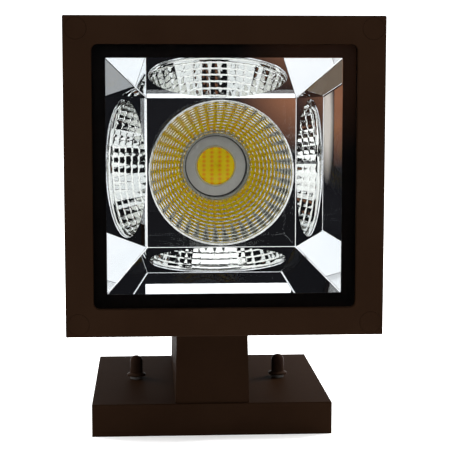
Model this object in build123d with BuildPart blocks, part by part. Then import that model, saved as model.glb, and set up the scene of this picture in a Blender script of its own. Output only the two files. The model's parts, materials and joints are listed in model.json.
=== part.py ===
"""Square architectural canopy light with an optic at each end of its body.

The light stands on its canopy. +Z is up, -Y is the front lit face and the origin is
the centre of the canopy's underside. Every length is in millimetres. Threads are
plain cylinders at their nominal size.
"""
import os
from build123d import *

os.makedirs("parts", exist_ok=True)

# Driving dimensions of the outside
canopy_width = 114.3
canopy_height = 15.5
neck_height = 52.5
neck_foot = (35.0, 112.0)
neck_top = (33.0, 110.0)
head_width = 125.0
head_length = 326.0
edge_break = 0.4

# Wall thicknesses and fits
canopy_side_wall = 3.0
tube_wall = 3.0
neck_wall = 4.0
thread_clearance = 0.05
bolt_clearance = 0.2

# Heights and lengths that follow
neck_top_height = canopy_height + neck_height
axis_height = neck_top_height + head_width / 2
frame_depth = 10.0
tube_length = head_length - 2 * frame_depth
tube_floor = neck_top_height + tube_wall

# Thread radii and head sizes, as (thread radius, head radius, head height)
m3_screw = (1.5, 2.75, 2.0)
m35_screw = (1.75, 3.5, 3.5)
m4_screw = (2.0, 3.5, 3.5)
m4_pan_screw = (2.0, 4.0, 2.6)
m5_bolt = (2.5, 4.2, 4.0)

# Canopy, its gasket and what it covers
gasket_thickness = 2.0
gasket_width = 3.0
ledge_thickness = 2.0
canopy_cavity = canopy_width - 2 * canopy_side_wall
canopy_opening = canopy_cavity - 2 * gasket_width
cavity_top = canopy_height - tube_wall
stud_spacing = 73.0
stud_above_canopy = 9.0
stud_hole_radius = 2.4
wire_hole_radius = 9.0
plate_size = (92.0, 100.0)
plate_thickness = 2.0
box_screw_spacing = 88.9
box_slot = (7.6, 4.6)
cable_hole_radius = 11.0
cable_hole_offset = 24.0
lock_nut_height = 3.2
m4_nut_flats = 7.0
ground_screw_place = (30.0, -30.0)
terminal_size = (20.0, 12.0, 8.0)
terminal_port_radius = 1.6
lead_spacing = 4.5

# Cap nuts, heights above the canopy's top face
washer_radius = 3.1
washer_height = 1.6
nut_gap = 0.05
nut_flange_radius = 4.75
nut_flange_height = 0.8
nut_slope_height = 0.8
nut_radius = 3.25
nut_height = 12.05
nut_bore_top = 10.3

# Neck
neck_boss = 12.0
neck_bolt_place = (8.5, 47.0)
neck_bolt_reach = 12.0
neck_groove_depth = 1.2
neck_groove_width = 2.0
groove_margin = 1.0
grommet_bore = 6.5
grommet_flange = (11.0, 1.2)
supply_lead_radius = 1.3

# End frame, glass and optic: widths, and depths behind the face plane
window_width = 103.0
window_corner = 2.5
window_edge_radius = 0.5
lip_depth = 2.5
pocket_width = 112.0
pocket_corner = 12.0
corner_screw_inset = 5.0
corner_screw_offset = head_width / 2 - corner_screw_inset
corner_block = (9.0, 25.0)
plug_radius = 4.2
plug_clearance = 0.1
plug_sink = 0.05
plug_depth = 2.0
screw_head_seat = 6.0
corner_screw_reach = 16.0
glass_width = 111.2
glass_corner = 11.6
glass_back = 7.0
glass_gasket_back = 8.5
glass_gasket_window = 95.0
cone_mouth = 92.6
cone_mouth_depth = 7.1
cone_floor = 61.0
cone_floor_depth = 28.8
cone_sheet = 1.0
cone_side = 1.1
cone_flange_width = 110.0
cup_mouth_radius = 29.5
cup_foot_radius = 13.7
cup_foot_depth = 73.8
cup_collar = 2.5
cup_wall = 1.2
cup_flange_radius = 33.0
holder_radius = 25.0
holder_front = 72.5
holder_lip_radius = 13.8
holder_terminal = (6.0, 12.0)
holder_terminal_end = 27.0
holder_screw_offset = 20.5
board_width = 28.0
board_front = 75.2
board_back = 76.7
dam_radius = 9.1
dam_front = 74.6
phosphor_radius = 8.4
phosphor_front = 74.8
sink_front = 77.0
sink_back = 85.0
sink_width = 110.0
sink_corner = 6.0
fin_end = 125.0
fin_count = 10
fin_pitch = 9.6
fin_size = (2.0, 90.0)
pillar_place = (51.0, 30.0)
pillar_radius = 3.0
m3_nut_flats = 5.5
m3_nut_height = 2.4
led_lead_radius = 0.9
led_lead_gap = 4.4
led_lead_column = 47.0
led_lead_depth = 74.75
led_lead_bend = 5.4
led_lead_hole_radius = 4.0

# Driver and its bracket
bracket_width = 100.0
bracket_depth = 44.0
bracket_sheet = 2.0
bracket_foot = 14.0
bracket_foot_screw = (41.0, 12.0)
bracket_screw_reach = 4.2
bracket_top = 106.0
driver_size = (100.0, 50.0, 36.0)
driver_wall = 2.0
driver_post = 6.0
driver_post_height = 8.0
driver_screw_place = (44.0, 18.0)
driver_screw_reach = 9.0
driver_board_size = (92.0, 42.0, 1.6)
transformer_size = (24.0, 20.0, 14.0)
choke_size = (12.0, 16.0, 10.0)
capacitor_size = (5.0, 14.0)
lid_lip = 1.5
lid_fit = 0.2

square_corners = ((-1, -1), (-1, 1), (1, -1), (1, 1))

# Face planes of the two ends, looking out of the body
front_face = Plane(
    origin=(0, -head_length / 2, axis_height), x_dir=(1, 0, 0), z_dir=(0, -1, 0)
)
rear_face = Plane(
    origin=(0, head_length / 2, axis_height), x_dir=(-1, 0, 0), z_dir=(0, 1, 0)
)


def corners(half_x, half_y):
    """The four places at plus and minus the given offsets."""
    return [(x * half_x, y * half_y) for x, y in square_corners]


def canopy():
    """Cast cover over the junction box, open below."""
    with BuildPart() as cover:
        with BuildSketch():
            Rectangle(canopy_width, canopy_width)
        extrude(amount=canopy_height)
        chamfer(cover.faces().sort_by(Axis.Z)[-1].edges(), edge_break)
        chamfer(cover.edges().filter_by(Axis.Z), edge_break)
        with BuildSketch():
            Rectangle(canopy_opening, canopy_opening)
        extrude(amount=cavity_top, mode=Mode.SUBTRACT)
        with BuildSketch():
            Rectangle(canopy_cavity, canopy_cavity)
        extrude(amount=gasket_thickness, mode=Mode.SUBTRACT)
        ledge_top = gasket_thickness + ledge_thickness
        with BuildSketch(Plane.XY.offset(ledge_top)):
            Rectangle(canopy_cavity, canopy_cavity)
        extrude(amount=cavity_top - ledge_top, mode=Mode.SUBTRACT)
        with BuildSketch(Plane.XY.offset(cavity_top)):
            Circle(wire_hole_radius)
            with GridLocations(stud_spacing, 0, 2, 1):
                Circle(stud_hole_radius)
            with Locations(*corners(*neck_bolt_place)):
                Circle(m5_bolt[0] + bolt_clearance)
        extrude(amount=tube_wall, mode=Mode.SUBTRACT)
    cover.part.label = "canopy"
    export_step(cover.part, "parts/canopy.step")


def canopy_gasket():
    """Flat seal in the rebate of the canopy's rim."""
    with BuildPart() as gasket:
        with BuildSketch():
            Rectangle(canopy_cavity, canopy_cavity)
            Rectangle(canopy_opening, canopy_opening, mode=Mode.SUBTRACT)
        extrude(amount=gasket_thickness)
    gasket.part.label = "canopy_gasket"
    export_step(gasket.part, "parts/canopy_gasket.step")


def mounting_plate():
    """Steel plate for the junction box, with slots for the box's screws."""
    with BuildPart() as plate:
        with BuildSketch():
            Rectangle(*plate_size)
            with GridLocations(stud_spacing, 0, 2, 1):
                Circle(m4_screw[0] + thread_clearance, mode=Mode.SUBTRACT)
            with GridLocations(0, box_screw_spacing, 1, 2):
                SlotOverall(*box_slot, rotation=90, mode=Mode.SUBTRACT)
            with Locations((0, cable_hole_offset)):
                Circle(cable_hole_radius, mode=Mode.SUBTRACT)
            with Locations(ground_screw_place):
                Circle(m4_screw[0] + thread_clearance, mode=Mode.SUBTRACT)
        extrude(amount=plate_thickness)
        fillet(plate.edges().filter_by(Axis.Z).group_by(Axis.X)[0], gasket_width)
        fillet(plate.edges().filter_by(Axis.Z).group_by(Axis.X)[-1], gasket_width)
    plate.part.label = "mounting_plate"
    export_step(plate.part, "parts/mounting_plate.step")


def mounting_studs():
    """Two threaded studs that the cap nuts run on."""
    with BuildPart() as studs:
        with BuildSketch():
            with GridLocations(stud_spacing, 0, 2, 1):
                Circle(m4_screw[0])
        extrude(amount=canopy_height + stud_above_canopy)
        chamfer(studs.faces().filter_by(Axis.Z).group_by(Axis.Z)[-1].edges(), edge_break)
    studs.part.label = "mounting_studs"
    export_step(studs.part, "parts/mounting_studs.step")


def stud_lock_nuts():
    """Hexagon nuts that lock the studs to the mounting plate."""
    with BuildPart() as nuts:
        with BuildSketch(Plane.XY.offset(plate_thickness)):
            with GridLocations(stud_spacing, 0, 2, 1):
                RegularPolygon(m4_nut_flats / 2, 6, major_radius=False)
                Circle(m4_screw[0] + thread_clearance, mode=Mode.SUBTRACT)
        extrude(amount=lock_nut_height)
    nuts.part.label = "stud_lock_nuts"
    export_step(nuts.part, "parts/stud_lock_nuts.step")


def ground_screw():
    """Pan-head earth screw in the mounting plate."""
    with BuildPart() as screw:
        with BuildSketch():
            with Locations(ground_screw_place):
                Circle(m4_pan_screw[0])
        extrude(amount=plate_thickness)
        with BuildSketch(Plane.XY.offset(plate_thickness)):
            with Locations(ground_screw_place):
                Circle(m4_pan_screw[1])
        extrude(amount=m4_pan_screw[2])
        fillet(screw.faces().sort_by(Axis.Z)[-1].edges(), 2 * edge_break)
    screw.part.label = "ground_screw"
    export_step(screw.part, "parts/ground_screw.step")


def terminal_block():
    """Three-way block between the house wiring and the light's own leads."""
    length, depth, height = terminal_size
    with BuildPart() as block:
        with BuildSketch(Plane.XY.offset(plate_thickness)):
            Rectangle(length, depth)
        extrude(amount=height)
        with BuildSketch(Plane.XZ.offset(-depth / 2)):
            with Locations((0, plate_thickness + height / 2)):
                with GridLocations(lead_spacing, 0, 3, 1):
                    Circle(terminal_port_radius)
        extrude(amount=depth / 2 - edge_break, mode=Mode.SUBTRACT)
        chamfer(block.faces().sort_by(Axis.Z)[-1].edges(), edge_break)
    block.part.label = "terminal_block"
    export_step(block.part, "parts/terminal_block.step")


def seal_washer(side, stud_x):
    """Soft seal that stays under a cap nut's flange."""
    with BuildPart() as washer:
        with BuildSketch(Plane.XY.offset(canopy_height)):
            with Locations((stud_x, 0)):
                Circle(washer_radius)
                Circle(m4_screw[0] + thread_clearance, mode=Mode.SUBTRACT)
        extrude(amount=washer_height - nut_gap)
    washer.part.label = f"seal_washer_{side}"
    export_step(washer.part, f"parts/seal_washer_{side}.step")


def cap_nut(side, stud_x):
    """Tall domed cap nut with a thin flange and a blind thread."""
    stud = Plane(origin=(stud_x, 0, canopy_height), x_dir=(1, 0, 0), z_dir=(0, -1, 0))
    bore = m4_screw[0] + thread_clearance
    flange_top = washer_height + nut_flange_height
    body_foot = flange_top + nut_slope_height
    dome_foot = nut_height - nut_radius
    with BuildPart() as nut:
        with BuildSketch(stud):
            with BuildLine():
                Polyline(
                    (0, nut_bore_top),
                    (bore, nut_bore_top),
                    (bore, washer_height),
                    (nut_flange_radius, washer_height),
                    (nut_flange_radius, flange_top),
                    (nut_radius, body_foot),
                    (nut_radius, dome_foot),
                )
                RadiusArc((nut_radius, dome_foot), (0, nut_height), -nut_radius)
                Line((0, nut_height), (0, nut_bore_top))
            make_face()
        revolve(axis=Axis((stud_x, 0, canopy_height), (0, 0, 1)))
    nut.part.label = f"cap_nut_{side}"
    export_step(nut.part, f"parts/cap_nut_{side}.step")


def neck():
    """Hollow cast arm between canopy and head, slightly narrower at its top."""
    twice_wall = 2 * neck_wall
    with BuildPart() as arm:
        with BuildSketch(Plane.XY.offset(canopy_height)):
            Rectangle(*neck_foot)
        with BuildSketch(Plane.XY.offset(neck_top_height)):
            Rectangle(*neck_top)
        loft()
        with BuildSketch(Plane.XY.offset(canopy_height)):
            Rectangle(neck_foot[0] - twice_wall, neck_foot[1] - twice_wall)
        with BuildSketch(Plane.XY.offset(neck_top_height)):
            Rectangle(neck_top[0] - twice_wall, neck_top[1] - twice_wall)
        loft(mode=Mode.SUBTRACT)
        with BuildSketch(Plane.XY.offset(canopy_height)):
            with Locations(*corners(*neck_bolt_place)):
                Rectangle(neck_boss, neck_boss)
                Circle(m5_bolt[0] + thread_clearance, mode=Mode.SUBTRACT)
        extrude(amount=neck_height)
        with BuildSketch(Plane.XY.offset(canopy_height)):
            gasket_ring(neck_foot)
        extrude(amount=neck_groove_depth, mode=Mode.SUBTRACT)
        with BuildSketch(Plane.XY.offset(neck_top_height)):
            gasket_ring(neck_top)
        extrude(amount=-neck_groove_depth, mode=Mode.SUBTRACT)
    arm.part.label = "neck"
    export_step(arm.part, "parts/neck.step")


def gasket_ring(outline):
    """Ring in the middle of the neck's wall, for a groove or its gasket."""
    outer = (outline[0] - 2 * groove_margin, outline[1] - 2 * groove_margin)
    Rectangle(*outer)
    inner = (outer[0] - 2 * neck_groove_width, outer[1] - 2 * neck_groove_width)
    Rectangle(*inner, mode=Mode.SUBTRACT)


def neck_gaskets():
    """Seals in the grooves at the neck's foot and top."""
    with BuildPart() as foot_gasket:
        with BuildSketch(Plane.XY.offset(canopy_height)):
            gasket_ring(neck_foot)
        extrude(amount=neck_groove_depth)
    foot_gasket.part.label = "neck_foot_gasket"
    export_step(foot_gasket.part, "parts/neck_foot_gasket.step")
    with BuildPart() as top_gasket:
        with BuildSketch(Plane.XY.offset(neck_top_height - neck_groove_depth)):
            gasket_ring(neck_top)
        extrude(amount=neck_groove_depth)
    top_gasket.part.label = "neck_top_gasket"
    export_step(top_gasket.part, "parts/neck_top_gasket.step")


def bolt_group(name, head_seat, direction, places, bolt, reach):
    """Bolts that stand along Z, with their heads on the plane at head_seat.

    direction is 1 where the threads point up and -1 where they point down.
    """
    thread_radius, head_radius, head_height = bolt
    with BuildPart() as bolts:
        with BuildSketch(Plane.XY.offset(head_seat)):
            with Locations(*places):
                Circle(head_radius)
        extrude(amount=-direction * head_height)
        with BuildSketch(Plane.XY.offset(head_seat)):
            with Locations(*places):
                Circle(thread_radius)
        extrude(amount=direction * reach)
    bolts.part.label = name
    export_step(bolts.part, f"parts/{name}.step")


def wire_grommets():
    """Grommets in the holes of the canopy's top and of the head's floor."""
    flange_radius, flange_height = grommet_flange
    neck_side_radius = wire_hole_radius - thread_clearance
    with BuildPart() as grommets:
        for wall_foot in (cavity_top, neck_top_height):
            with BuildSketch(Plane.XY.offset(wall_foot - flange_height)):
                Circle(flange_radius)
            extrude(amount=flange_height)
            with BuildSketch(Plane.XY.offset(wall_foot)):
                Circle(neck_side_radius)
            extrude(amount=tube_wall)
            with BuildSketch(Plane.XY.offset(wall_foot + tube_wall)):
                Circle(flange_radius)
            extrude(amount=flange_height)
            with BuildSketch(Plane.XY.offset(wall_foot - flange_height)):
                Circle(grommet_bore)
            extrude(amount=tube_wall + 2 * flange_height, mode=Mode.SUBTRACT)
    grommets.part.label = "wire_grommets"
    export_step(grommets.part, "parts/wire_grommets.step")


def supply_lead(name, lead_x):
    """One mains lead, pulled straight from the terminal block to the driver."""
    lead_foot = plate_thickness + terminal_size[2]
    with BuildPart() as lead:
        with BuildSketch(Plane.XY.offset(lead_foot)):
            with Locations((lead_x, 0)):
                Circle(supply_lead_radius)
        extrude(amount=bracket_top - lead_foot)
    lead.part.label = name
    export_step(lead.part, f"parts/{name}.step")


def housing_tube():
    """Square body tube with the openings for its bolts, leads and bracket in its floor."""
    rear_end = Plane(
        origin=(0, tube_length / 2, axis_height), x_dir=(1, 0, 0), z_dir=(0, -1, 0)
    )
    inner_width = head_width - 2 * tube_wall
    with BuildPart() as tube:
        with BuildSketch(rear_end):
            Rectangle(head_width, head_width)
            Rectangle(inner_width, inner_width, mode=Mode.SUBTRACT)
        extrude(amount=tube_length)
        long_edges = tube.edges().filter_by(Axis.Y)
        for side in (0, -1):
            chamfer(long_edges.group_by(Axis.X)[side], edge_break)
        with BuildSketch(Plane.XY.offset(neck_top_height)):
            Circle(wire_hole_radius)
            with Locations(*corners(*neck_bolt_place)):
                Circle(m5_bolt[0] + bolt_clearance)
        extrude(amount=tube_wall, mode=Mode.SUBTRACT)
        with BuildSketch(Plane.XY.offset(tube_floor)):
            with Locations(*corners(*bracket_foot_screw)):
                Circle(m4_screw[0] + thread_clearance)
        extrude(amount=bracket_sheet - bracket_screw_reach - edge_break, mode=Mode.SUBTRACT)
    tube.part.label = "housing_tube"
    export_step(tube.part, "parts/housing_tube.step")


def corner_blocks():
    """Blocks in the corners of the tube's two ends, tapped for the frames' screws."""
    block_width, block_length = corner_block
    block_offset = head_width / 2 - tube_wall - block_width / 2
    with BuildPart() as blocks:
        for end in (front_face, rear_face):
            with BuildSketch(end.offset(-frame_depth)):
                with Locations(*corners(block_offset, block_offset)):
                    Rectangle(block_width, block_width)
                with Locations(*corners(corner_screw_offset, corner_screw_offset)):
                    Circle(m35_screw[0] + thread_clearance, mode=Mode.SUBTRACT)
            extrude(amount=-block_length)
    blocks.part.label = "corner_blocks"
    export_step(blocks.part, "parts/corner_blocks.step")


def driver_bracket():
    """Bent sheet table that carries the driver above the neck bolts."""
    inner_width = bracket_width - 2 * bracket_sheet
    leg_height = bracket_top - tube_floor - bracket_sheet
    foot_centre = inner_width / 2 - bracket_foot / 2
    with BuildPart() as bracket:
        with BuildSketch(Plane.XY.offset(bracket_top - bracket_sheet)):
            Rectangle(bracket_width, bracket_depth)
            Circle(wire_hole_radius, mode=Mode.SUBTRACT)
            with Locations(*corners(*driver_screw_place)):
                Circle(m3_screw[0] + bolt_clearance, mode=Mode.SUBTRACT)
        extrude(amount=bracket_sheet)
        with BuildSketch(Plane.XY.offset(tube_floor)):
            with GridLocations(bracket_width - bracket_sheet, 0, 2, 1):
                Rectangle(bracket_sheet, bracket_depth)
        extrude(amount=leg_height)
        with BuildSketch(Plane.XY.offset(tube_floor)):
            with GridLocations(2 * foot_centre, 0, 2, 1):
                Rectangle(bracket_foot, bracket_depth)
            with Locations(*corners(*bracket_foot_screw)):
                Circle(m4_screw[0] + bolt_clearance, mode=Mode.SUBTRACT)
        extrude(amount=bracket_sheet)
    bracket.part.label = "driver_bracket"
    export_step(bracket.part, "parts/driver_bracket.step")


def driver_case():
    """Open box of the constant-current driver, with a post in each corner."""
    length, depth, height = driver_size
    wall_height = height - driver_wall
    with BuildPart() as case:
        with BuildSketch(Plane.XY.offset(bracket_top)):
            Rectangle(length, depth)
        extrude(amount=wall_height)
        with BuildSketch(Plane.XY.offset(bracket_top + driver_wall)):
            Rectangle(length - 2 * driver_wall, depth - 2 * driver_wall)
        extrude(amount=wall_height - driver_wall, mode=Mode.SUBTRACT)
        with BuildSketch(Plane.XY.offset(bracket_top + driver_wall)):
            with Locations(*corners(*driver_screw_place)):
                Rectangle(driver_post, driver_post)
        extrude(amount=driver_post_height)
        with BuildSketch(Plane.XY.offset(bracket_top)):
            with Locations(*corners(*driver_screw_place)):
                Circle(m3_screw[0] + thread_clearance)
        extrude(amount=driver_screw_reach, mode=Mode.SUBTRACT)
    case.part.label = "driver_case"
    export_step(case.part, "parts/driver_case.step")


def driver_lid():
    """Lid of the driver, with a lip that fits inside the case."""
    length, depth, height = driver_size
    lip_length = length - 2 * (driver_wall + lid_fit)
    lip_depth_across = depth - 2 * (driver_wall + lid_fit)
    lid_foot = bracket_top + height - driver_wall
    with BuildPart() as lid:
        with BuildSketch(Plane.XY.offset(lid_foot)):
            Rectangle(length, depth)
        extrude(amount=driver_wall)
        with BuildSketch(Plane.XY.offset(lid_foot)):
            Rectangle(lip_length, lip_depth_across)
            Rectangle(
                lip_length - 2 * lid_lip, lip_depth_across - 2 * lid_lip, mode=Mode.SUBTRACT
            )
        extrude(amount=-driver_wall)
    lid.part.label = "driver_lid"
    export_step(lid.part, "parts/driver_lid.step")


def driver_board():
    """Circuit board with its transformer, choke and capacitors."""
    length, depth, thickness = driver_board_size
    board_foot = bracket_top + driver_wall + driver_post_height
    parts_foot = board_foot + thickness
    with BuildPart() as board:
        with BuildSketch(Plane.XY.offset(board_foot)):
            Rectangle(length, depth)
        extrude(amount=thickness)
        with BuildSketch(Plane.XY.offset(parts_foot)):
            Rectangle(*transformer_size[:2])
        extrude(amount=transformer_size[2])
        with BuildSketch(Plane.XY.offset(parts_foot)):
            with Locations((-length / 4, 0)):
                Rectangle(*choke_size[:2])
        extrude(amount=choke_size[2])
        with BuildSketch(Plane.XY.offset(parts_foot)):
            with GridLocations(0, depth / 2, 1, 2):
                with Locations((length / 4, 0)):
                    Circle(capacitor_size[0])
        extrude(amount=capacitor_size[1])
    board.part.label = "driver_board"
    export_step(board.part, "parts/driver_board.step")


def end_frame(side, face):
    """Square bezel with a rounded window and a pocket for the glass behind its lip."""
    with BuildPart() as frame:
        with BuildSketch(face):
            Rectangle(head_width, head_width)
        extrude(amount=-frame_depth)
        chamfer(frame.faces().sort_by(Axis(face.origin, face.z_dir))[-1].edges(), edge_break)
        chamfer(frame.edges().filter_by(Axis.Y), edge_break)
        with BuildSketch(face):
            RectangleRounded(window_width, window_width, window_corner)
        extrude(amount=-lip_depth, mode=Mode.SUBTRACT)
        front = frame.faces().sort_by(Axis(face.origin, face.z_dir))[-1]
        fillet(front.inner_wires()[0].edges(), window_edge_radius)
        with BuildSketch(face.offset(-frame_depth)):
            RectangleRounded(pocket_width, pocket_width, pocket_corner)
        extrude(amount=frame_depth - lip_depth, mode=Mode.SUBTRACT)
        with BuildSketch(face):
            with Locations(*corners(corner_screw_offset, corner_screw_offset)):
                Circle(plug_radius + plug_clearance)
        extrude(amount=-screw_head_seat, mode=Mode.SUBTRACT)
        with BuildSketch(face):
            with Locations(*corners(corner_screw_offset, corner_screw_offset)):
                Circle(m35_screw[0] + bolt_clearance)
        extrude(amount=-frame_depth, mode=Mode.SUBTRACT)
    frame.part.label = f"{side}_frame"
    export_step(frame.part, f"parts/{side}_frame.step")


def face_fasteners(name, head_plane, places, screw, reach):
    """Screws that point into the body, with their heads standing on head_plane."""
    thread_radius, head_radius, head_height = screw
    with BuildPart() as screws:
        with BuildSketch(head_plane):
            with Locations(*places):
                Circle(head_radius)
        extrude(amount=head_height)
        with BuildSketch(head_plane):
            with Locations(*places):
                Circle(thread_radius)
        extrude(amount=-reach)
    screws.part.label = name
    export_step(screws.part, f"parts/{name}.step")


def screw_plugs(side, face):
    """Flush round plugs over the frame's corner screws."""
    with BuildPart() as plugs:
        with BuildSketch(face.offset(-plug_depth)):
            with Locations(*corners(corner_screw_offset, corner_screw_offset)):
                Circle(plug_radius)
        extrude(amount=plug_depth - plug_sink)
    plugs.part.label = f"{side}_screw_plugs"
    export_step(plugs.part, f"parts/{side}_screw_plugs.step")


def glass(side, face):
    """Flat toughened glass behind the frame's lip."""
    with BuildPart() as pane:
        with BuildSketch(face.offset(-lip_depth)):
            RectangleRounded(glass_width, glass_width, glass_corner)
        extrude(amount=lip_depth - glass_back)
    pane.part.label = f"{side}_glass"
    export_step(pane.part, f"parts/{side}_glass.step")


def glass_gasket(side, face):
    """Silicone ring between the glass and the mirror cone's flange."""
    with BuildPart() as ring:
        with BuildSketch(face.offset(-glass_back)):
            RectangleRounded(glass_width, glass_width, glass_corner)
            RectangleRounded(
                glass_gasket_window, glass_gasket_window, edge_break, mode=Mode.SUBTRACT
            )
        extrude(amount=glass_back - glass_gasket_back)
    ring.part.label = f"{side}_glass_gasket"
    export_step(ring.part, f"parts/{side}_glass_gasket.step")


def mirror_cone(side, face):
    """Four sloping mirror walls and a flat floor with the cup's round mouth."""
    cone_back = cone_floor_depth + cone_sheet
    flange_corner = pocket_corner - groove_margin
    with BuildPart() as cone:
        with BuildSketch(face.offset(-cone_mouth_depth)):
            Rectangle(cone_mouth + 2 * cone_side, cone_mouth + 2 * cone_side)
        with BuildSketch(face.offset(-cone_back)):
            Rectangle(cone_floor + 2 * cone_side, cone_floor + 2 * cone_side)
        loft()
        with BuildSketch(face.offset(-glass_gasket_back)):
            RectangleRounded(cone_flange_width, cone_flange_width, flange_corner)
            with Locations(*corners(*pillar_place)):
                Circle(m3_screw[0] + thread_clearance, mode=Mode.SUBTRACT)
        extrude(amount=glass_gasket_back - frame_depth)
        with BuildSketch(face.offset(-cone_mouth_depth)):
            Rectangle(cone_mouth, cone_mouth)
        with BuildSketch(face.offset(-cone_floor_depth)):
            Rectangle(cone_floor, cone_floor)
        loft(mode=Mode.SUBTRACT)
        with BuildSketch(face.offset(-cone_back)):
            Circle(cup_mouth_radius)
        extrude(amount=cone_sheet, mode=Mode.SUBTRACT)
    cone.part.label = f"{side}_mirror_cone"
    export_step(cone.part, f"parts/{side}_mirror_cone.step")


def section_of(face):
    """Plane through the optical axis: X across the head, Y out of the face."""
    return Plane(origin=face.origin, x_dir=face.x_dir, z_dir=-face.y_dir)


def cup_reflector(side, face):
    """Deep reflector cup between the cone's floor and the light source."""
    mouth = cone_floor_depth + cone_sheet
    with BuildPart() as cup:
        with BuildSketch(section_of(face)):
            with BuildLine():
                Polyline(
                    (cup_mouth_radius, -mouth),
                    (cup_foot_radius, cup_collar - cup_foot_depth),
                    (cup_foot_radius, -cup_foot_depth),
                    (cup_foot_radius + cup_wall, -cup_foot_depth),
                    (cup_foot_radius + cup_wall, cup_collar - cup_foot_depth),
                    (cup_mouth_radius + cup_wall, -mouth - cup_wall),
                    (cup_flange_radius, -mouth - cup_wall),
                    (cup_flange_radius, -mouth),
                    close=True,
                )
            make_face()
        revolve(axis=Axis(face.origin, face.z_dir))
    cup.part.label = f"{side}_cup_reflector"
    export_step(cup.part, f"parts/{side}_cup_reflector.step")


def led_board(side, face):
    """Square chip-on-board substrate with a round dam around the phosphor."""
    with BuildPart() as board:
        with BuildSketch(face.offset(-board_back)):
            Rectangle(board_width, board_width)
        extrude(amount=board_back - board_front)
        with BuildSketch(face.offset(-board_front)):
            Circle(dam_radius)
            Circle(phosphor_radius, mode=Mode.SUBTRACT)
        extrude(amount=board_front - dam_front)
    board.part.label = f"{side}_led_board"
    export_step(board.part, f"parts/{side}_led_board.step")
    with BuildPart() as phosphor:
        with BuildSketch(face.offset(-board_front)):
            Circle(phosphor_radius)
        extrude(amount=board_front - phosphor_front)
    phosphor.part.label = f"{side}_phosphor"
    export_step(phosphor.part, f"parts/{side}_phosphor.step")


def led_holder(side, face):
    """Plastic holder that clamps the board and seats the cup's foot."""
    cup_seat = cup_foot_radius + cup_wall + bolt_clearance
    block_length, block_width = holder_terminal
    with BuildPart() as holder:
        with BuildSketch(face.offset(-sink_front)):
            Circle(holder_radius)
            with Locations((holder_terminal_end - block_length, 0)):
                Rectangle(2 * block_length, block_width)
        extrude(amount=sink_front - holder_front)
        with BuildSketch(face.offset(-sink_front)):
            Circle(holder_lip_radius)
            with GridLocations(0, 2 * holder_screw_offset, 1, 2):
                Circle(m3_screw[0] + bolt_clearance)
        extrude(amount=sink_front - holder_front, mode=Mode.SUBTRACT)
        with BuildSketch(face.offset(-cup_foot_depth)):
            Circle(cup_seat)
        extrude(amount=cup_foot_depth - holder_front, mode=Mode.SUBTRACT)
        with BuildSketch(face.offset(-sink_front)):
            Rectangle(board_width + 2 * bolt_clearance, board_width + 2 * bolt_clearance)
        extrude(amount=sink_front - board_front, mode=Mode.SUBTRACT)
    holder.part.label = f"{side}_led_holder"
    export_step(holder.part, f"parts/{side}_led_holder.step")


def thermal_pad(side, face):
    """Thin pad between the board and the heat sink."""
    with BuildPart() as pad:
        with BuildSketch(face.offset(-sink_front)):
            Rectangle(board_width, board_width)
        extrude(amount=sink_front - board_back)
    pad.part.label = f"{side}_thermal_pad"
    export_step(pad.part, f"parts/{side}_thermal_pad.step")


def heat_sink(side, face):
    """Finned aluminium block that closes off the optic's end of the body."""
    with BuildPart() as sink:
        with BuildSketch(face.offset(-sink_back)):
            RectangleRounded(sink_width, sink_width, sink_corner)
            with Locations(*corners(*pillar_place)):
                Circle(m3_screw[0] + thread_clearance, mode=Mode.SUBTRACT)
            with GridLocations(0, 2 * holder_screw_offset, 1, 2):
                Circle(m3_screw[0] + thread_clearance, mode=Mode.SUBTRACT)
            with Locations((led_lead_column, 0)):
                Circle(led_lead_hole_radius, mode=Mode.SUBTRACT)
        extrude(amount=sink_back - sink_front)
        with BuildSketch(face.offset(-sink_back)):
            with GridLocations(fin_pitch, 0, fin_count, 1):
                Rectangle(*fin_size)
        extrude(amount=sink_back - fin_end)
    sink.part.label = f"{side}_heat_sink"
    export_step(sink.part, f"parts/{side}_heat_sink.step")


def pillars(side, face):
    """Four pillars that hold the mirror cone off the heat sink, and their nuts."""
    spigot_end = sink_back + m3_nut_height + edge_break
    with BuildPart() as posts:
        with BuildSketch(face.offset(-frame_depth)):
            with Locations(*corners(*pillar_place)):
                Circle(pillar_radius)
        extrude(amount=frame_depth - sink_front)
        with BuildSketch(face.offset(-glass_gasket_back)):
            with Locations(*corners(*pillar_place)):
                Circle(m3_screw[0])
        extrude(amount=glass_gasket_back - spigot_end)
    posts.part.label = f"{side}_pillars"
    export_step(posts.part, f"parts/{side}_pillars.step")
    with BuildPart() as nuts:
        with BuildSketch(face.offset(-sink_back)):
            with Locations(*corners(*pillar_place)):
                RegularPolygon(m3_nut_flats / 2, 6, major_radius=False)
                Circle(m3_screw[0] + thread_clearance, mode=Mode.SUBTRACT)
        extrude(amount=-m3_nut_height)
    nuts.part.label = f"{side}_pillar_nuts"
    export_step(nuts.part, f"parts/{side}_pillar_nuts.step")


def led_leads(side, face):
    """Pair of leads from the holder, through the heat sink, to the driver."""
    lead_start = (holder_terminal_end, -led_lead_depth)
    lead_turn = (led_lead_column, -led_lead_depth)
    lead_end = (led_lead_column, driver_size[1] / 2 - head_length / 2)
    with BuildPart() as leads:
        for level in (-led_lead_gap / 2, led_lead_gap / 2):
            route_plane = section_of(face).offset(level)
            with BuildLine(route_plane) as route:
                FilletPolyline(lead_start, lead_turn, lead_end, radius=led_lead_bend)
            start = route_plane.from_local_coords((*lead_start, 0))
            with BuildSketch(Plane(origin=start, z_dir=face.x_dir)):
                Circle(led_lead_radius)
            sweep(path=route.wire())
    leads.part.label = f"{side}_led_leads"
    export_step(leads.part, f"parts/{side}_led_leads.step")


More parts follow.
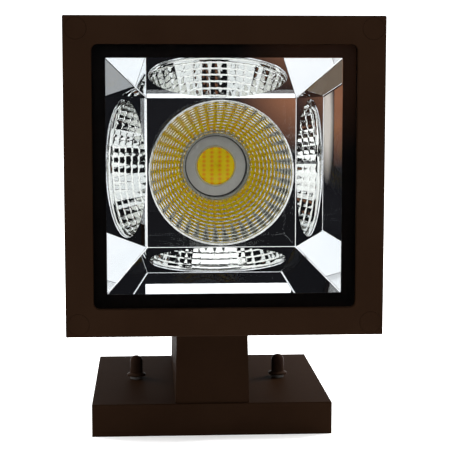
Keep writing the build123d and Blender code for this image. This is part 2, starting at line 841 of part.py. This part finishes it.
def head_end(side, face):
    """Everything in one end of the body, from the frame back to the heat sink."""
    end_frame(side, face)
    frame_corners = corners(corner_screw_offset, corner_screw_offset)
    seat = face.offset(-screw_head_seat)
    face_fasteners(f"{side}_frame_screws", seat, frame_corners, m35_screw, corner_screw_reach)
    screw_plugs(side, face)
    glass(side, face)
    glass_gasket(side, face)
    mirror_cone(side, face)
    cup_reflector(side, face)
    led_board(side, face)
    led_holder(side, face)
    holder_places = [(0, -holder_screw_offset), (0, holder_screw_offset)]
    holder_face = face.offset(-holder_front)
    holder_reach = sink_back - holder_front - m3_screw[0]
    face_fasteners(
        f"{side}_holder_screws", holder_face, holder_places, m3_screw, holder_reach
    )
    thermal_pad(side, face)
    heat_sink(side, face)
    pillars(side, face)
    led_leads(side, face)


canopy()
canopy_gasket()
mounting_plate()
mounting_studs()
stud_lock_nuts()
ground_screw()
terminal_block()
for side, stud_x in (("left", -stud_spacing / 2), ("right", stud_spacing / 2)):
    seal_washer(side, stud_x)
    cap_nut(side, stud_x)
neck()
neck_gaskets()
neck_places = corners(*neck_bolt_place)
bolt_group(
    "neck_bolts", cavity_top, 1, neck_places, m5_bolt, tube_wall + neck_bolt_reach
)
bolt_group(
    "housing_bolts", tube_floor, -1, neck_places, m5_bolt, tube_wall + neck_bolt_reach
)
wire_grommets()
for number, lead in enumerate(("live", "neutral", "ground")):
    supply_lead(f"supply_lead_{lead}", (number - 1) * lead_spacing)
housing_tube()
corner_blocks()
driver_bracket()
bolt_group(
    "bracket_screws",
    tube_floor + bracket_sheet,
    -1,
    corners(*bracket_foot_screw),
    m4_screw,
    bracket_screw_reach,
)
driver_case()
driver_lid()
driver_board()
bolt_group(
    "driver_screws",
    bracket_top - bracket_sheet,
    1,
    corners(*driver_screw_place),
    m3_screw,
    bracket_sheet + driver_screw_reach - edge_break,
)
head_end("front", front_face)
head_end("rear", rear_face)
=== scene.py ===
"""Looks of the square canopy light: materials, reflector optics, studio and camera."""
import json
import math

import bmesh
import bpy
from mathutils import Matrix, Vector


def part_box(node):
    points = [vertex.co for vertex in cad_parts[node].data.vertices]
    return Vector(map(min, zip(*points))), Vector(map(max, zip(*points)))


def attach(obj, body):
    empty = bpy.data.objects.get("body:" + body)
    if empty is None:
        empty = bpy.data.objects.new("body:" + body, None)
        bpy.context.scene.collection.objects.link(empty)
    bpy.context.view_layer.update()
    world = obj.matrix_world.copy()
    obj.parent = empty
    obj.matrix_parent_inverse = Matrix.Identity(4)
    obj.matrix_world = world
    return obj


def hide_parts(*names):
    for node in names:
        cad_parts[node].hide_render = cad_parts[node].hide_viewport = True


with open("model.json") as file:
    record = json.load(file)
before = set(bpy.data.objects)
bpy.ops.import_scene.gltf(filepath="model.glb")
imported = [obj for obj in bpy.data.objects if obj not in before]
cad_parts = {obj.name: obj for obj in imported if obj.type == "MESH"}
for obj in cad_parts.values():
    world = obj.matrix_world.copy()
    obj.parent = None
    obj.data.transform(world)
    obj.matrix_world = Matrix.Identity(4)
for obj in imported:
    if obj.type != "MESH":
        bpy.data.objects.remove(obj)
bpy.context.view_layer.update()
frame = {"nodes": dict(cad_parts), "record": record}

MM = 0.001
NODES = frame["nodes"]
RECORD = frame["record"]

# Sizes are in millimetres: half widths, radii, and depths behind the face plane

# Mirror cone
MOUTH_HALF = 46.3
MOUTH_DEPTH = 7.1
LIP_WIDTH = 0.3
FLOOR_HALF = 30.5
FLOOR_DEPTH = 28.8
CONE_SIDE = 1.1
CONE_BACK = 29.8
FLANGE_HALF = 55.0
FLANGE_CORNER = 11.0
FLANGE_FRONT = 8.5
FLANGE_BACK = 10.0
DIAGONAL_FOLD = 0.5
FLOOR_FOLD = 0.12
FOLD_MIDDLE_INSET = 0.03
FOLD_MIDDLE_RISE = 0.09
CUP_EDGE_ROUND = 0.25

# Cup reflector, with a smooth collar in front of its facets
CUP_MOUTH = 29.5
CUP_NECK = 28.95
CUP_FOOT = 13.7
CUP_COLLAR_END = 31.6
CUP_FACETS_END = 71.3
CUP_END = 73.8
CUP_WALL = 1.2
CUP_FLANGE = 33.0
FACET_COLUMNS = 42
FACET_ROWS = 12
FACET_STEPS = 8
ROW_GROWTH = 0.28
LEDGE_HEIGHT = 0.22

# Profile of one facet row: share of its length, share of the ledge's height
ROW_PROFILE = ((0.0, 0.0), (0.045, 1.0), (0.3, 0.75), (0.65, 0.38))

# Points of the cup's rolled rim: inset from its mouth, depth behind the cone's back
RIM_ROLL = ((0.15, 0.05), (0.4, 0.35))

# Light source
BOARD_HALF = 14.0
BOARD_CORNER = 0.6
BOARD_EDGE = 0.1
BOARD_FRONT = 75.2
BOARD_BACK = 76.7
BOARD_CENTRE = 0.2
DAM_INNER = 8.4
DAM_OUTER = 9.1
DAM_FRONT = 74.6
DAM_SEAT = 0.02
DAM_STEPS = 8
GEL_FRONT = 74.8
GEL_CENTRE = 0.02
GEL_GAP = 0.1
GEL_SHOULDER = 0.8
GEL_SHOULDER_DIP = 0.06
GEL_DIP = 0.08
# Black ring at the cup's foot, a painted shadow line
RING_WIDTH = 0.5
RING_HEIGHT = 0.4
BOARD_CLEARANCE = 0.01
ROUND_STEPS = 96

# Rows of chips under the phosphor
CHIP_PITCH_ACROSS = 3.5
CHIP_PITCH_UP = 1.95
CHIP_SPOT_INNER = 0.2
CHIP_SPOT_OUTER = 1.15

# Black border on the back of the glass
BORDER_HALF = 46.4
BORDER_OUTER = 55.4
BORDER_INNER_CORNER = 0.8
BORDER_CORNER = 11.4
BORDER_FRONT = 6.9
BORDER_BACK = 6.98

# Points along a side and round a corner of every rounded square
SIDE_STEPS = 16
CORNER_STEPS = 4

# Finishes: grain is in cells per metre, relief in metres
COAT_SHEEN = 0.006
COAT_PEEL = 0.0002
GRAIN = 400.0
GRAIN_RELIEF = 0.0001

# Studio, in metres. The dark cards stand for the dark room that the mirrors show
WORLD_WHITE = 1.6
FLOOR_WHITE = (0.9, 0.9, 0.9)
FLOOR_GLOW = 0.4
DARK = (0.006, 0.006, 0.007)
GREY = (0.3, 0.3, 0.3)
OLIVE = (0.1, 0.08, 0.06)
COPPER = (0.27, 0.11, 0.055)
PALE_COPPER = (1.0, 0.9, 0.8)
UPWARD = (0, 0, 1)
TOWARD_FACE = (0, 1, 0)
CARD_LIFT = 0.0015

# Dark cards on the floor: name, width and length, place
FLOOR_CARDS = (
    ("dark_floor", (1.1, 0.9), (0.05, -0.99)),
    ("dark_band", (0.62, 0.215), (0.14, -0.35)),
    ("dark_band_left", (0.1, 0.13), (-0.082, -0.475)),
    ("dark_band_right", (0.1, 0.13), (0.124, -0.475)),
)

# Soft lights behind the part: place across, power in watts
LIGHTS = ((0.45, 9), (-0.45, 4))
LIGHT_SIZE = 0.3
LIGHT_BEHIND = 0.25
LIGHT_HEIGHT = 0.35

# Camera: metres and degrees
CAMERA_PLACE = (-0.0303, -0.6876, 0.1682)
CAMERA_DOWN = 6.10
CAMERA_RIGHT = 3.29
CAMERA_LENS = 108.4
CAMERA_SENSOR = 36.0
CAMERA_CLIP = (0.01, 50.0)


# ---------------------------------------------------------------- node helpers


def new_material(name):
    """An empty node material with its Principled shader."""
    made = bpy.data.materials.new(name)
    made.use_nodes = True
    return made, made.node_tree.nodes["Principled BSDF"]


def add_node(made, kind, **settings):
    """A node of that kind, with settings given by attribute name."""
    node = made.node_tree.nodes.new(kind)
    for key, value in settings.items():
        setattr(node, key, value)
    return node


def link(made, source, target):
    made.node_tree.links.new(source, target)


def object_coordinates(made):
    return add_node(made, "ShaderNodeTexCoord").outputs["Object"]


def noise(made, scale, detail=2.0):
    """Noise of that many cells per metre, in the object's own coordinates."""
    node = add_node(made, "ShaderNodeTexNoise")
    node.inputs["Scale"].default_value = scale
    node.inputs["Detail"].default_value = detail
    link(made, object_coordinates(made), node.inputs["Vector"])
    return node.outputs["Fac"]


def ramp(made, factor, stops):
    """Colour ramp with (position, colour) stops."""
    node = add_node(made, "ShaderNodeValToRGB")
    for element, (position, colour) in zip(node.color_ramp.elements, stops):
        element.position = position
        element.color = (*colour, 1.0)
    link(made, factor, node.inputs["Fac"])
    return node.outputs["Color"]


def mottle(made, factor, low, high, margin=0.3):
    """Colour between low and high, which fill a margin at each end of the factor."""
    return ramp(made, factor, [(margin, low), (1 - margin, high)])


def to_range(made, factor, low, high):
    node = add_node(made, "ShaderNodeMapRange")
    node.inputs["To Min"].default_value = low
    node.inputs["To Max"].default_value = high
    link(made, factor, node.inputs["Value"])
    return node.outputs["Result"]


def vector_length(made, vector):
    node = add_node(made, "ShaderNodeVectorMath", operation="LENGTH")
    link(made, vector, node.inputs[0])
    return node.outputs["Value"]


def bump(made, shader, height, strength, distance):
    node = add_node(made, "ShaderNodeBump")
    node.inputs["Strength"].default_value = strength
    node.inputs["Distance"].default_value = distance
    link(made, height, node.inputs["Height"])
    link(made, node.outputs["Normal"], shader.inputs["Normal"])


# ------------------------------------------------------------------- materials


def powder_coat(name, low, high, roughness=0.6):
    """Satin powder coat: fine orange peel and faint colour mottling."""
    made, shader = new_material(name)
    shade = mottle(made, noise(made, 60, detail=4), low, high)
    link(made, shade, shader.inputs["Base Color"])
    satin = to_range(made, noise(made, 900, detail=3), roughness - 0.05, roughness + 0.06)
    link(made, satin, shader.inputs["Roughness"])
    shader.inputs["Specular IOR Level"].default_value = COAT_SHEEN
    bump(made, shader, noise(made, 2600), 0.12, COAT_PEEL)
    return made


def plain(name, low, high, roughness, metallic=0.0):
    """Moulded or machined finish with a fine grain in its colour and relief."""
    made, shader = new_material(name)
    shade = mottle(made, noise(made, GRAIN, detail=3), low, high, margin=0.35)
    link(made, shade, shader.inputs["Base Color"])
    worn = to_range(made, noise(made, GRAIN * 2), roughness - 0.04, roughness + 0.06)
    link(made, worn, shader.inputs["Roughness"])
    shader.inputs["Metallic"].default_value = metallic
    bump(made, shader, noise(made, GRAIN * 4), 0.1, GRAIN_RELIEF)
    return made


def mirror_sheet():
    """Bright anodised aluminium sheet."""
    made, shader = new_material("mirror_sheet")
    shade = mottle(made, noise(made, 15), (0.84, 0.86, 0.88), (0.88, 0.89, 0.9))
    link(made, shade, shader.inputs["Base Color"])
    shader.inputs["Metallic"].default_value = 1.0
    link(made, to_range(made, noise(made, 200), 0.003, 0.008), shader.inputs["Roughness"])
    return made


def cup_metal():
    """Vacuum-metallised reflector, bright with a faint haze."""
    made, shader = new_material("cup_metal")
    shade = mottle(made, noise(made, 90), (0.72, 0.73, 0.7), (0.76, 0.77, 0.74))
    link(made, shade, shader.inputs["Base Color"])
    shader.inputs["Metallic"].default_value = 1.0
    link(made, to_range(made, noise(made, 700), 0.03, 0.06), shader.inputs["Roughness"])
    return made


def clear_glass():
    """Clear toughened glass with a trace of green."""
    made, shader = new_material("clear_glass")
    tint = mottle(made, noise(made, 4), (0.985, 0.99, 0.988), (0.99, 0.995, 0.992))
    link(made, tint, shader.inputs["Base Color"])
    shader.inputs["Transmission Weight"].default_value = 1.0
    shader.inputs["Roughness"].default_value = 0.0
    shader.inputs["IOR"].default_value = 1.45
    return made


def black_print():
    """Fired black border on the back of the glass."""
    made, shader = new_material("black_print")
    shade = mottle(made, noise(made, 500), (0.0015, 0.0006, 0.0003), (0.003, 0.0012, 0.0006))
    link(made, shade, shader.inputs["Base Color"])
    shader.inputs["Specular IOR Level"].default_value = 0.05
    shader.inputs["Roughness"].default_value = 0.35
    return made


def distance_to_row(made, source, pitch, offset):
    """Distance from the nearest of many evenly spaced rows, in metres."""
    shifted = add_node(made, "ShaderNodeMath", operation="ADD")
    shifted.inputs[1].default_value = offset
    link(made, source, shifted.inputs[0])
    folded = add_node(made, "ShaderNodeMath", operation="PINGPONG")
    folded.inputs[1].default_value = pitch / 2
    link(made, shifted.outputs[0], folded.inputs[0])
    return folded.outputs[0]


def phosphor_gel():
    """Yellow phosphor with a painted faint glow (its LED is off) and rows of chips showing orange
    through it.
    """
    made, shader = new_material("phosphor_gel")
    split = add_node(made, "ShaderNodeSeparateXYZ")
    link(made, object_coordinates(made), split.inputs[0])
    pitch_across, pitch_up = CHIP_PITCH_ACROSS * MM, CHIP_PITCH_UP * MM
    across = distance_to_row(made, split.outputs["X"], pitch_across, pitch_across / 2)
    upward = distance_to_row(made, split.outputs["Z"], pitch_up, 0.0)
    both = add_node(made, "ShaderNodeCombineXYZ")
    link(made, across, both.inputs[0])
    link(made, upward, both.inputs[1])
    spot = add_node(made, "ShaderNodeMapRange")
    spot.inputs["From Min"].default_value = CHIP_SPOT_INNER * MM
    spot.inputs["From Max"].default_value = CHIP_SPOT_OUTER * MM
    link(made, vector_length(made, both.outputs[0]), spot.inputs["Value"])
    orange, yellow = (1.0, 0.36, 0.004), (1.0, 0.72, 0.006)
    shade = ramp(made, spot.outputs["Result"], [(0.0, orange), (1.0, yellow)])
    link(made, shade, shader.inputs["Base Color"])
    # Painted glow: the phosphor's colour also feeds a faint emission that brightens the unlit phosphor
    link(made, shade, shader.inputs["Emission Color"])
    shader.inputs["Emission Strength"].default_value = 0.14
    shader.inputs["Specular IOR Level"].default_value = 0.2
    shader.inputs["Roughness"].default_value = 0.25
    return made


FINISHES = {
    "bronze_paint": powder_coat("bronze_paint", (0.0106, 0.005, 0.0026), (0.0122, 0.0059, 0.0031)),
    "bronze_hardware": powder_coat("bronze_hardware", (0.012, 0.006, 0.004), (0.018, 0.01, 0.006), 0.3),
    "black_rubber": plain("black_rubber", (0.012, 0.012, 0.012), (0.02, 0.02, 0.02), 0.7),
    "zinc_steel": plain("zinc_steel", (0.5, 0.5, 0.48), (0.6, 0.6, 0.57), 0.3, metallic=1.0),
    "soft_seal": plain("soft_seal", (0.05, 0.045, 0.04), (0.07, 0.065, 0.06), 0.55),
    "terminal_plastic": plain("terminal_plastic", (0.6, 0.57, 0.5), (0.66, 0.63, 0.56), 0.45),
    "clear_glass": clear_glass(),
    "mirror_sheet": mirror_sheet(),
    "cup_metal": cup_metal(),
    "board_ceramic": plain("board_ceramic", (0.78, 0.77, 0.73), (0.82, 0.81, 0.78), 0.35),
    "phosphor_gel": phosphor_gel(),
    "holder_plastic": plain("holder_plastic", (0.7, 0.7, 0.68), (0.75, 0.75, 0.73), 0.4),
    "thermal_silicone": plain("thermal_silicone", (0.2, 0.2, 0.21), (0.26, 0.26, 0.27), 0.8),
    "raw_aluminium": plain("raw_aluminium", (0.6, 0.61, 0.62), (0.7, 0.71, 0.72), 0.35, metallic=1.0),
    "driver_plastic": plain("driver_plastic", (0.72, 0.72, 0.7), (0.78, 0.78, 0.76), 0.5),
    "circuit_board": plain("circuit_board", (0.01, 0.07, 0.02), (0.02, 0.1, 0.03), 0.3),
    "lead_red": plain("lead_red", (0.35, 0.01, 0.01), (0.42, 0.02, 0.015), 0.45),
    "lead_black": plain("lead_black", (0.008, 0.008, 0.008), (0.015, 0.015, 0.015), 0.45),
    "lead_white": plain("lead_white", (0.7, 0.7, 0.68), (0.76, 0.76, 0.74), 0.45),
    "lead_green": plain("lead_green", (0.01, 0.14, 0.03), (0.015, 0.18, 0.04), 0.45),
}
DAM_SILICONE = plain("dam_silicone", (0.78, 0.72, 0.5), (0.82, 0.77, 0.56), 0.4)
BORDER_PRINT = black_print()


def dress_cad_nodes():
    """Gives every carried-over CAD node the material of its record slot."""
    for row in RECORD["subparts"]:
        piece = NODES[row["node"]]
        piece.data.materials.clear()
        piece.data.materials.append(FINISHES[row["material_slot"]])


# --------------------------------------------------------------- mesh building


class End:
    """One end of the head: places (across, up, depth) millimetres in the frame."""

    def __init__(self, side):
        self.side = side
        low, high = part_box(f"{side}_frame")
        self.height = (low.z + high.z) / 2
        self.turn = 1 if side == "front" else -1
        self.face = low.y if side == "front" else high.y

    def place(self, across, up, depth):
        return Vector((
            self.turn * across * MM,
            self.face + self.turn * depth * MM,
            self.height + up * MM,
        ))


def rounded_square(half, corner, depth):
    """Ring of a rounded square, as (across, up, depth) points."""
    points = []
    straight = half - corner
    for quarter in range(4):
        turn = Matrix.Rotation(math.radians(90 * quarter), 2)
        for step in range(SIDE_STEPS):
            along = -straight + 2 * straight * step / SIDE_STEPS
            points.append((*(turn @ Vector((half, along))), depth))
        for step in range(CORNER_STEPS):
            angle = math.radians(90 * step / CORNER_STEPS)
            spot = Vector((straight + corner * math.cos(angle), straight + corner * math.sin(angle)))
            points.append((*(turn @ spot), depth))
    return points


def circle_like(ring, radius, depth):
    """Ring of a circle whose points face those of another ring."""
    made = []
    for across, up, _ in ring:
        scale = radius / math.hypot(across, up)
        made.append((across * scale, up * scale, depth))
    return made


def circle(radius, depth, count=ROUND_STEPS):
    """Ring of a circle, as (across, up, depth) points."""
    angles = [2 * math.pi * step / count for step in range(count)]
    return [(radius * math.cos(angle), radius * math.sin(angle), depth) for angle in angles]


def mesh_from_rings(name, end, rings, smooth=()):
    """Closed skin over rings, the last joined to the first. smooth lists its smooth bands."""
    count = len(rings[0])
    vertices = [end.place(*point) for ring in rings for point in ring]
    faces = []
    flags = []
    for band in range(len(rings)):
        here, there = band * count, (band + 1) % len(rings) * count
        for i in range(count):
            j = (i + 1) % count
            faces.append((here + i, here + j, there + j, there + i))
        flags += [band in smooth] * count
    mesh = bpy.data.meshes.new(name)
    mesh.from_pydata(vertices, [], faces)
    mesh.polygons.foreach_set("use_smooth", flags)
    piece = bpy.data.objects.new(name, mesh)
    bpy.context.scene.collection.objects.link(piece)
    return piece


def outward(piece):
    """Turns all faces outward."""
    work = bmesh.new()
    work.from_mesh(piece.data)
    bmesh.ops.recalc_face_normals(work, faces=work.faces)
    work.to_mesh(piece.data)
    work.free()


def finish_piece(piece, material, slot, *replaced):
    """Material, body and the CAD nodes that the piece stands for. The slot argument is not used."""
    outward(piece)
    piece.data.materials.append(material)
    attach(piece, "light")
    if replaced:
        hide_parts(*replaced)


# ----------------------------------------------------------------- mirror cone


def mirror_cone(end):
    """Sheet-metal cone: four flat walls, small rounded folds and a flat floor."""
    slope = (MOUTH_HALF - FLOOR_HALF) / (FLOOR_DEPTH - MOUTH_DEPTH)
    fold_rise = FLOOR_FOLD * math.cos(math.atan(slope))
    fold_out = FLOOR_FOLD * math.sin(math.atan(slope))
    floor_ring = rounded_square(FLOOR_HALF - FLOOR_FOLD, DIAGONAL_FOLD, FLOOR_DEPTH)
    back_half = FLOOR_HALF + CONE_SIDE
    flange_foot = back_half + slope * (CONE_BACK - FLANGE_BACK)
    fold_middle = FLOOR_HALF - FOLD_MIDDLE_INSET
    rings = [
        rounded_square(MOUTH_HALF, DIAGONAL_FOLD, MOUTH_DEPTH),
        rounded_square(FLOOR_HALF + fold_out, DIAGONAL_FOLD, FLOOR_DEPTH - fold_rise),
        rounded_square(fold_middle, DIAGONAL_FOLD, FLOOR_DEPTH - FOLD_MIDDLE_RISE),
        floor_ring,
        circle_like(floor_ring, CUP_MOUTH + CUP_EDGE_ROUND, FLOOR_DEPTH),
        circle_like(floor_ring, CUP_MOUTH, FLOOR_DEPTH + CUP_EDGE_ROUND),
        circle_like(floor_ring, CUP_MOUTH, CONE_BACK),
        rounded_square(back_half, DIAGONAL_FOLD, CONE_BACK),
        rounded_square(flange_foot, DIAGONAL_FOLD, FLANGE_BACK),
        rounded_square(FLANGE_HALF, FLANGE_CORNER, FLANGE_BACK),
        rounded_square(FLANGE_HALF, FLANGE_CORNER, FLANGE_FRONT),
        rounded_square(MOUTH_HALF + LIP_WIDTH, DIAGONAL_FOLD, FLANGE_FRONT),
        rounded_square(MOUTH_HALF + LIP_WIDTH, DIAGONAL_FOLD, MOUTH_DEPTH),
    ]
    fold_bands, edge_bands = (1, 2), (4, 5)
    piece = mesh_from_rings(f"{end.side}_cone_sheet", end, rings, smooth=fold_bands + edge_bands)
    finish_piece(piece, FINISHES["mirror_sheet"], "mirror_sheet", f"{end.side}_mirror_cone")


# --------------------------------------------------------------- cup reflector


def cup_corner(column, row):
    """A corner of the cup's facets. Rows grow longer towards the foot."""
    along = row / FACET_ROWS
    share = along * (1 - ROW_GROWTH) + along * along * ROW_GROWTH
    radius = CUP_NECK + (CUP_FOOT - CUP_NECK) * share
    depth = CUP_COLLAR_END + (CUP_FACETS_END - CUP_COLLAR_END) * share
    angle = 2 * math.pi * column / FACET_COLUMNS
    return Vector((radius * math.cos(angle), radius * math.sin(angle), depth))


def facet_point(step, row, along, height):
    """A point of a facet that starts with a small ledge, highest in its column's middle."""
    column, inside = divmod(step, FACET_STEPS)
    u = inside / FACET_STEPS
    near = cup_corner(column, row).lerp(cup_corner(column + 1, row), u)
    far = cup_corner(column, row + 1).lerp(cup_corner(column + 1, row + 1), u)
    flat = near.lerp(far, along)
    radial = Vector((flat.x, flat.y, 0)).normalized()
    return tuple(flat - radial * LEDGE_HEIGHT * height * (4 * u * (1 - u)) ** 2)


def mark_facet_edges(piece, around, down):
    """Sharp edges between facets, so that each facet is shaded by itself."""
    mesh = piece.data
    sharp = mesh.attributes.new("sharp_edge", "BOOLEAN", "EDGE")
    flags = []
    for edge in mesh.edges:
        rings = [vertex // around for vertex in edge.vertices]
        columns = [vertex % around for vertex in edge.vertices]
        along_row = rings[0] == rings[1] and rings[0] <= down
        along_column = columns[0] == columns[1] and max(rings) <= down
        flags.append(
            (along_row and rings[0] % len(ROW_PROFILE) == 0)
            or (along_column and columns[0] % FACET_STEPS == 0)
        )
    sharp.data.foreach_set("value", flags)


def cup(end):
    """Deep reflector of pillowed facets in straight columns."""
    around = FACET_COLUMNS * FACET_STEPS
    down = FACET_ROWS * len(ROW_PROFILE)
    facet_rings = [
        [facet_point(step, row, along, height) for step in range(around)]
        for row in range(FACET_ROWS)
        for along, height in ROW_PROFILE
    ]
    facet_rings.append([facet_point(step, FACET_ROWS - 1, 1, 0) for step in range(around)])
    outer_foot, outer_mouth = CUP_FOOT + CUP_WALL, CUP_MOUTH + CUP_WALL
    rings = [
        *facet_rings,
        circle(CUP_FOOT, CUP_END, around),
        circle(outer_foot, CUP_END, around),
        circle(outer_foot, CUP_FACETS_END, around),
        circle(outer_mouth, CONE_BACK + CUP_WALL, around),
        circle(CUP_FLANGE, CONE_BACK + CUP_WALL, around),
        circle(CUP_FLANGE, CONE_BACK, around),
        circle(CUP_MOUTH, CONE_BACK, around),
        *[circle(CUP_MOUTH - inset, CONE_BACK + depth, around) for inset, depth in RIM_ROLL],
    ]
    inside_bands = range(down + 1)
    outer_wall = down + 3
    rim_bands = range(down + 7, len(rings))
    smooth = [*inside_bands, outer_wall, *rim_bands]
    piece = mesh_from_rings(f"{end.side}_cup", end, rings, smooth=smooth)
    mark_facet_edges(piece, around, down)
    finish_piece(piece, FINISHES["cup_metal"], "cup_metal", f"{end.side}_cup_reflector")


# ---------------------------------------------------------------- light source


def substrate(end):
    """Square ceramic board with a small chamfer round its front."""
    inner = rounded_square(BOARD_HALF - BOARD_EDGE, BOARD_CORNER - BOARD_EDGE, BOARD_FRONT)
    piece = mesh_from_rings(f"{end.side}_substrate", end, [
        circle_like(inner, BOARD_CENTRE, BOARD_FRONT),
        inner,
        rounded_square(BOARD_HALF, BOARD_CORNER, BOARD_FRONT + BOARD_EDGE),
        rounded_square(BOARD_HALF, BOARD_CORNER, BOARD_BACK),
        circle_like(inner, BOARD_CENTRE, BOARD_BACK),
    ])
    finish_piece(piece, FINISHES["board_ceramic"], "board_ceramic", f"{end.side}_led_board")


def dam(end):
    """Half-round silicone dam about the phosphor."""
    middle, half = (DAM_INNER + DAM_OUTER) / 2, (DAM_OUTER - DAM_INNER) / 2
    rise = BOARD_FRONT - DAM_FRONT
    rings = [circle(DAM_OUTER, BOARD_FRONT + DAM_SEAT)]
    for step in range(DAM_STEPS + 1):
        angle = math.pi * step / DAM_STEPS
        rings.append(circle(middle + half * math.cos(angle), BOARD_FRONT - rise * math.sin(angle)))
    rings.append(circle(DAM_INNER, BOARD_FRONT + DAM_SEAT))
    piece = mesh_from_rings(f"{end.side}_dam", end, rings, smooth=range(1, DAM_STEPS + 1))
    finish_piece(piece, DAM_SILICONE, "board_ceramic", f"{end.side}_led_board")


def gel(end):
    """Phosphor with a slightly dished front."""
    edge, foot = DAM_INNER - GEL_GAP, BOARD_FRONT - BOARD_CLEARANCE
    piece = mesh_from_rings(f"{end.side}_gel", end, [
        circle(GEL_CENTRE, GEL_FRONT + GEL_DIP),
        circle(DAM_INNER - GEL_SHOULDER, GEL_FRONT + GEL_SHOULDER_DIP),
        circle(edge, GEL_FRONT),
        circle(edge, foot),
        circle(GEL_CENTRE, foot),
    ], smooth=(0, 1))
    finish_piece(piece, FINISHES["phosphor_gel"], "phosphor_gel", f"{end.side}_phosphor")


def foot_shadow_ring(end):
    """Thin black ring on the board, just inside the cup's foot: a painted shadow line at the foot's
    gap.
    """
    top, foot = BOARD_FRONT - RING_HEIGHT, BOARD_FRONT - BOARD_CLEARANCE
    piece = mesh_from_rings(f"{end.side}_foot_shadow_ring", end, [
        circle(CUP_FOOT - RING_WIDTH, top),
        circle(CUP_FOOT, top),
        circle(CUP_FOOT, foot),
        circle(CUP_FOOT - RING_WIDTH, foot),
    ])
    finish_piece(piece, FINISHES["black_rubber"], "black_rubber")


def glass_border(end):
    """Black border fired on the glass, just inside its back face."""
    piece = mesh_from_rings(f"{end.side}_glass_border", end, [
        rounded_square(BORDER_HALF, BORDER_INNER_CORNER, BORDER_FRONT),
        rounded_square(BORDER_OUTER, BORDER_CORNER, BORDER_FRONT),
        rounded_square(BORDER_OUTER, BORDER_CORNER, BORDER_BACK),
        rounded_square(BORDER_HALF, BORDER_INNER_CORNER, BORDER_BACK),
    ])
    finish_piece(piece, BORDER_PRINT, "clear_glass")


# ---------------------------------------------------------------------- studio


def card(name, size, place, facing, colour, strength=0.0, camera=False):
    """Flat stage card. facing is its normal. Only reflections show it, unless camera is set."""
    mesh = bpy.data.meshes.new(name)
    x, y = size[0] / 2, size[1] / 2
    mesh.from_pydata([(-x, -y, 0), (x, -y, 0), (x, y, 0), (-x, y, 0)], [], [(0, 1, 2, 3)])
    piece = bpy.data.objects.new(name, mesh)
    bpy.context.scene.collection.objects.link(piece)
    piece.location = place
    piece.rotation_mode = "QUATERNION"
    piece.rotation_quaternion = Vector(facing).to_track_quat("Z", "Y")
    made, shader = new_material(name)
    shader.inputs["Base Color"].default_value = (*colour, 1)
    shader.inputs["Roughness"].default_value = 1.0
    shader.inputs["Specular IOR Level"].default_value = 0.0
    shader.inputs["Emission Color"].default_value = (*colour, 1)
    shader.inputs["Emission Strength"].default_value = strength
    mesh.materials.append(made)
    piece.visible_camera = camera
    piece.visible_diffuse = camera
    piece.visible_shadow = camera
    return piece


def glow(name, radius, place, colour, strength, narrow=1.0):
    """Round stage card that glows in its middle and fades to dark at its edge."""
    piece = card(name, (2 * radius, 2 * radius), place, TOWARD_FACE, DARK)
    piece.scale.x = narrow
    made = piece.data.materials[0]
    shader = made.node_tree.nodes["Principled BSDF"]
    fade = add_node(made, "ShaderNodeMapRange")
    fade.inputs["From Max"].default_value = radius
    fade.inputs["To Min"].default_value = 1.0
    fade.inputs["To Max"].default_value = 0.0
    link(made, vector_length(made, object_coordinates(made)), fade.inputs["Value"])
    shade = ramp(made, fade.outputs["Result"], [(0.0, DARK), (0.6, colour)])
    link(made, shade, shader.inputs["Emission Color"])
    shader.inputs["Emission Strength"].default_value = strength


def surroundings():
    """Pale floor, bright surroundings, and a dark side behind the camera."""
    world = bpy.data.worlds.new("studio")
    bpy.context.scene.world = world
    world.use_nodes = True
    back = world.node_tree.nodes["Background"]
    back.inputs["Color"].default_value = (1, 1, 1, 1)
    back.inputs["Strength"].default_value = WORLD_WHITE
    card("floor", (8, 8), (0, 0, 0), UPWARD, FLOOR_WHITE, FLOOR_GLOW, camera=True)
    card("dark_room", (0.9, 0.62), (0.02, -1.3, 0.0), TOWARD_FACE, DARK)
    for name, size, (x, y) in FLOOR_CARDS:
        card(name, size, (x, y, CARD_LIFT), UPWARD, DARK)
    card("grey_floor", (0.13, 0.14), (-0.19, -0.63, 2 * CARD_LIFT), UPWARD, GREY)
    card("olive_right", (0.07, 0.06), (0.25, -0.9, 0.03), TOWARD_FACE, OLIVE)
    card("dark_right", (0.06, 0.09), (0.38, -0.9, 0.03), TOWARD_FACE, DARK)
    glow("streak_right", 0.07, (0.374, -0.895, 0.125), PALE_COPPER, 0.9, narrow=0.12)
    glow("copper_right", 0.08, (0.375, -0.9, 0.15), COPPER, 1.3)
    glow("copper_patch", 0.1, (0.175, -1.28, 0.175), COPPER, 1.2)


def side_light(x, power):
    """Soft light behind and beside the part, for the canopy's top. The mirrors don't show it."""
    data = bpy.data.lights.new("side_light", "AREA")
    data.size = LIGHT_SIZE
    data.energy = power
    made = bpy.data.objects.new("side_light", data)
    bpy.context.scene.collection.objects.link(made)
    made.location = (x, LIGHT_BEHIND, LIGHT_HEIGHT)
    made.rotation_mode = "QUATERNION"
    made.rotation_quaternion = made.location.to_track_quat("Z", "Y")
    made.visible_glossy = False


def camera():
    """Camera at the front, slightly left of the middle and looking a little down."""
    data = bpy.data.cameras.new("camera")
    data.sensor_width = CAMERA_SENSOR
    data.lens = CAMERA_LENS
    data.clip_start, data.clip_end = CAMERA_CLIP
    made = bpy.data.objects.new("camera", data)
    bpy.context.scene.collection.objects.link(made)
    made.location = CAMERA_PLACE
    made.rotation_euler = (math.radians(90 - CAMERA_DOWN), 0, math.radians(-CAMERA_RIGHT))
    bpy.context.scene.camera = made


dress_cad_nodes()
for side in ("front", "rear"):
    this_end = End(side)
    mirror_cone(this_end)
    cup(this_end)
    substrate(this_end)
    dam(this_end)
    gel(this_end)
    foot_shadow_ring(this_end)
    glass_border(this_end)
surroundings()
for light_x, light_power in LIGHTS:
    side_light(light_x, light_power)
camera()
bpy.context.scene.view_settings.view_transform = "Standard"
